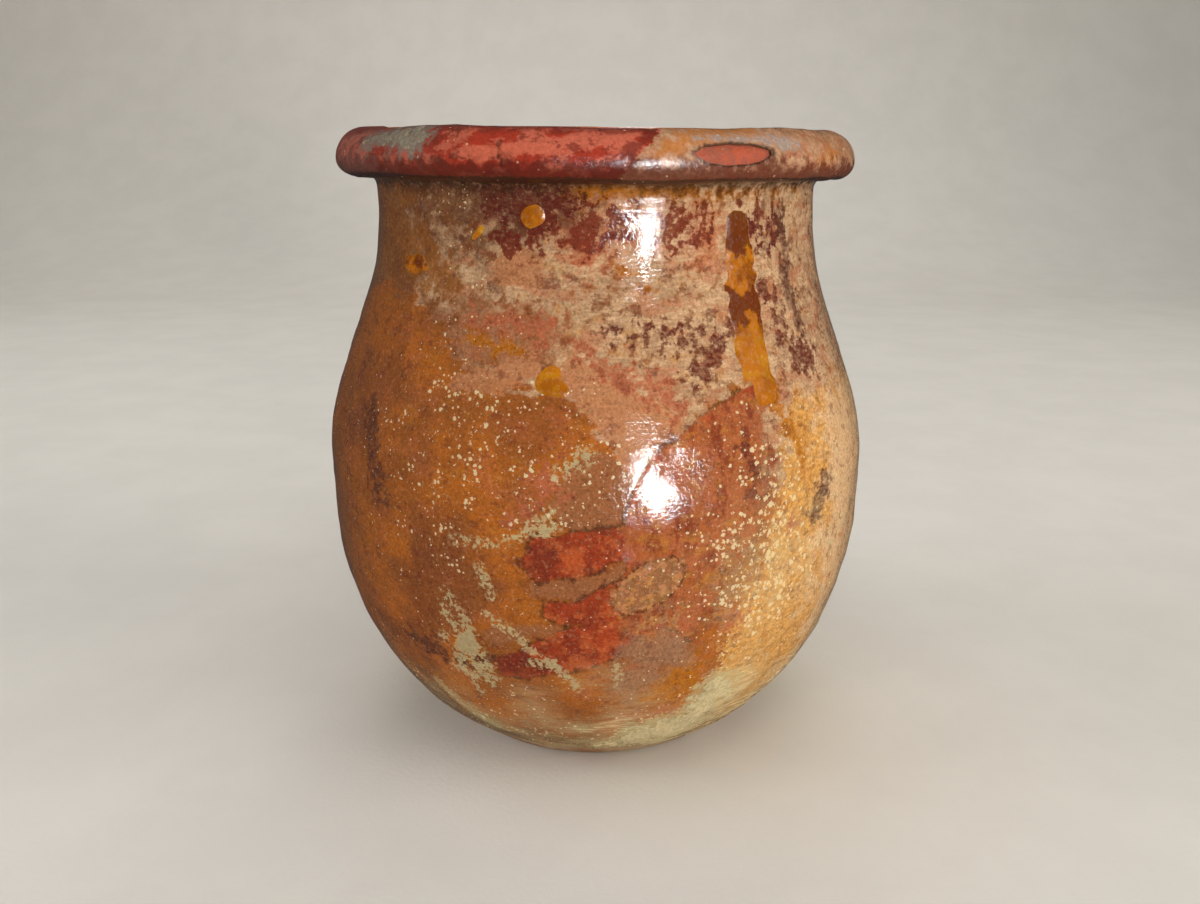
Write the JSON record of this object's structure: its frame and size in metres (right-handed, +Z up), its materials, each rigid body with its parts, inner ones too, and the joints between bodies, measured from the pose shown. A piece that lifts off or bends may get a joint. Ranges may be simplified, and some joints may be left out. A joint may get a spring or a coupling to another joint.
{
  "type": "glazed earthenware crock",
  "caption": "Wide-mouthed earthenware crock with a rolled rim, a round belly, a narrow foot and worn honey and red glaze, for fermenting and keeping food.",
  "frame": {"origin": "centre of the foot, on the surface that the jar stands on", "axes": "+Z up along the jar's own axis; -Y towards the side with the finger marks; +X to the right of that side"},
  "size_m": [0.176, 0.176, 0.1928],
  "materials": {
    "clay": "fired red earthenware, unglazed",
    "slip": "pale slip, under glaze",
    "outer_glaze": "glossy honey and rust lead glaze, mottled",
    "rim_glaze": "glossy red-brown lead glaze, chipped",
    "inner_glaze": "glossy brown lead glaze",
    "thick_glaze": "thick glossy amber glaze",
    "lime": "matt lime scale",
    "mortar": "matt grey mortar"
  },
  "bodies": {
    "root": {"clay_body": "clay", "outer_slip": "slip", "rim_slip": "slip", "outer_glaze": "outer_glaze", "rim_glaze": "rim_glaze", "inner_glaze": "inner_glaze", "glaze_run": "thick_glaze", "glaze_drops": "thick_glaze", "lime_crust": "lime", "lime_splash": "lime", "mortar_smear": "mortar"}
  },
  "joints": []
}
